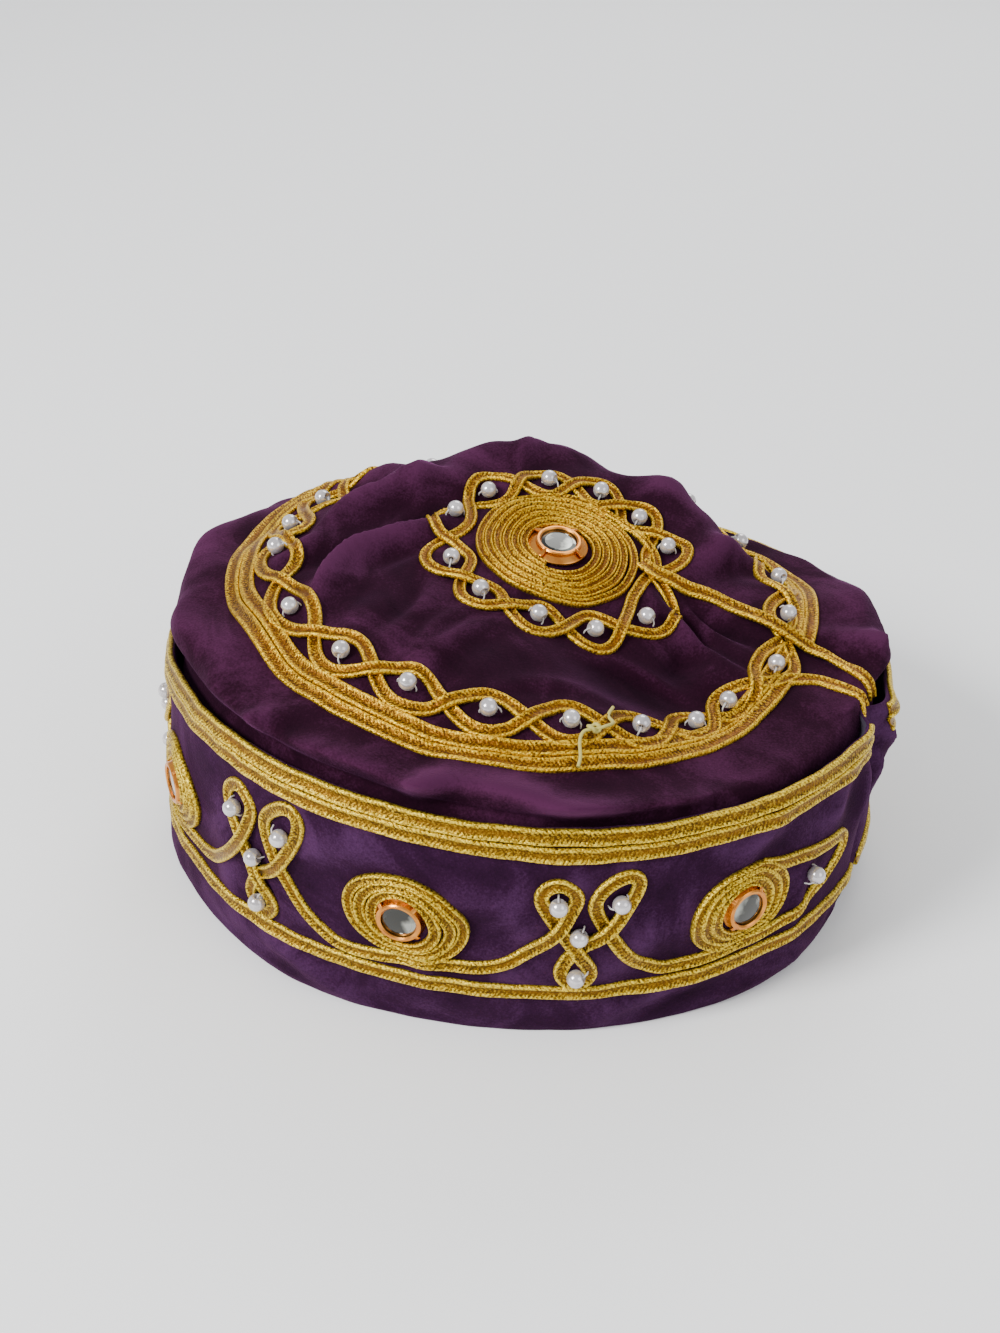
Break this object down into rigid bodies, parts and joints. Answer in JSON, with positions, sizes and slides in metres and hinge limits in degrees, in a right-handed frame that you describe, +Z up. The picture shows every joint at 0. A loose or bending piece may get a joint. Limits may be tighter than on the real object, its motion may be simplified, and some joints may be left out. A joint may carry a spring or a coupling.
{
  "type": "embroidered velvet kufi cap",
  "caption": "Round brimless cap of purple velvet: a soft domed crown set in a stiff upright band, trimmed with looping gold soutache braid, small pearls and round mirrors in metal cups.",
  "frame": {"origin": "centre of the outer box in plan, on the hem's lowest face that the cap stands on", "axes": "+Z up through the crown, -Y towards the front of the cap as pictured, +X towards the wearer's left, where the seam is"},
  "size_m": [0.1943, 0.1891, 0.0904],
  "materials": {
    "velvet": "deep purple velvet pile",
    "gold_braid": "plaited metallic gold thread",
    "setting": "copper-gold stamped cup",
    "mirror": "small round glass mirror",
    "pearl": "silvery pearl lacquer"
  },
  "bodies": {
    "root": {"crown": "velvet", "band": "velvet", "crown_border_outer": "gold_braid", "crown_border_inner": "gold_braid", "crown_twist": "gold_braid", "crown_flower": "gold_braid", "crown_coil": "gold_braid", "crown_seam_braid": "gold_braid", "band_top_braid_upper": "gold_braid", "band_top_braid_lower": "gold_braid", "band_lower_braid": "gold_braid", "band_scroll": "gold_braid", "crown_setting": "setting", "crown_mirror": "mirror", "band_01_setting": "setting", "band_01_mirror": "mirror", "band_02_setting": "setting", "band_02_mirror": "mirror", "band_03_setting": "setting", "band_03_mirror": "mirror", "band_04_setting": "setting", "band_04_mirror": "mirror", "band_05_setting": "setting", "band_05_mirror": "mirror", "band_06_setting": "setting", "band_06_mirror": "mirror", "band_07_setting": "setting", "band_07_mirror": "mirror", "twist_pearl_01": "pearl", "twist_pearl_02": "pearl", "twist_pearl_03": "pearl", "twist_pearl_04": "pearl", "twist_pearl_05": "pearl", "twist_pearl_06": "pearl", "twist_pearl_07": "pearl", "twist_pearl_08": "pearl", "twist_pearl_09": "pearl", "twist_pearl_10": "pearl", "twist_pearl_11": "pearl", "twist_pearl_12": "pearl", "twist_pearl_13": "pearl", "twist_pearl_14": "pearl", "twist_pearl_15": "pearl", "twist_pearl_16": "pearl", "twist_pearl_17": "pearl", "twist_pearl_18": "pearl", "twist_pearl_19": "pearl", "twist_pearl_20": "pearl", "twist_pearl_21": "pearl", "flower_pearl_01": "pearl", "flower_pearl_02": "pearl", "flower_pearl_03": "pearl", "flower_pearl_04": "pearl", "flower_pearl_05": "pearl", "flower_pearl_06": "pearl", "flower_pearl_07": "pearl", "flower_pearl_08": "pearl", "flower_pearl_09": "pearl", "flower_pearl_10": "pearl", "flower_pearl_11": "pearl"}
  },
  "joints": []
}
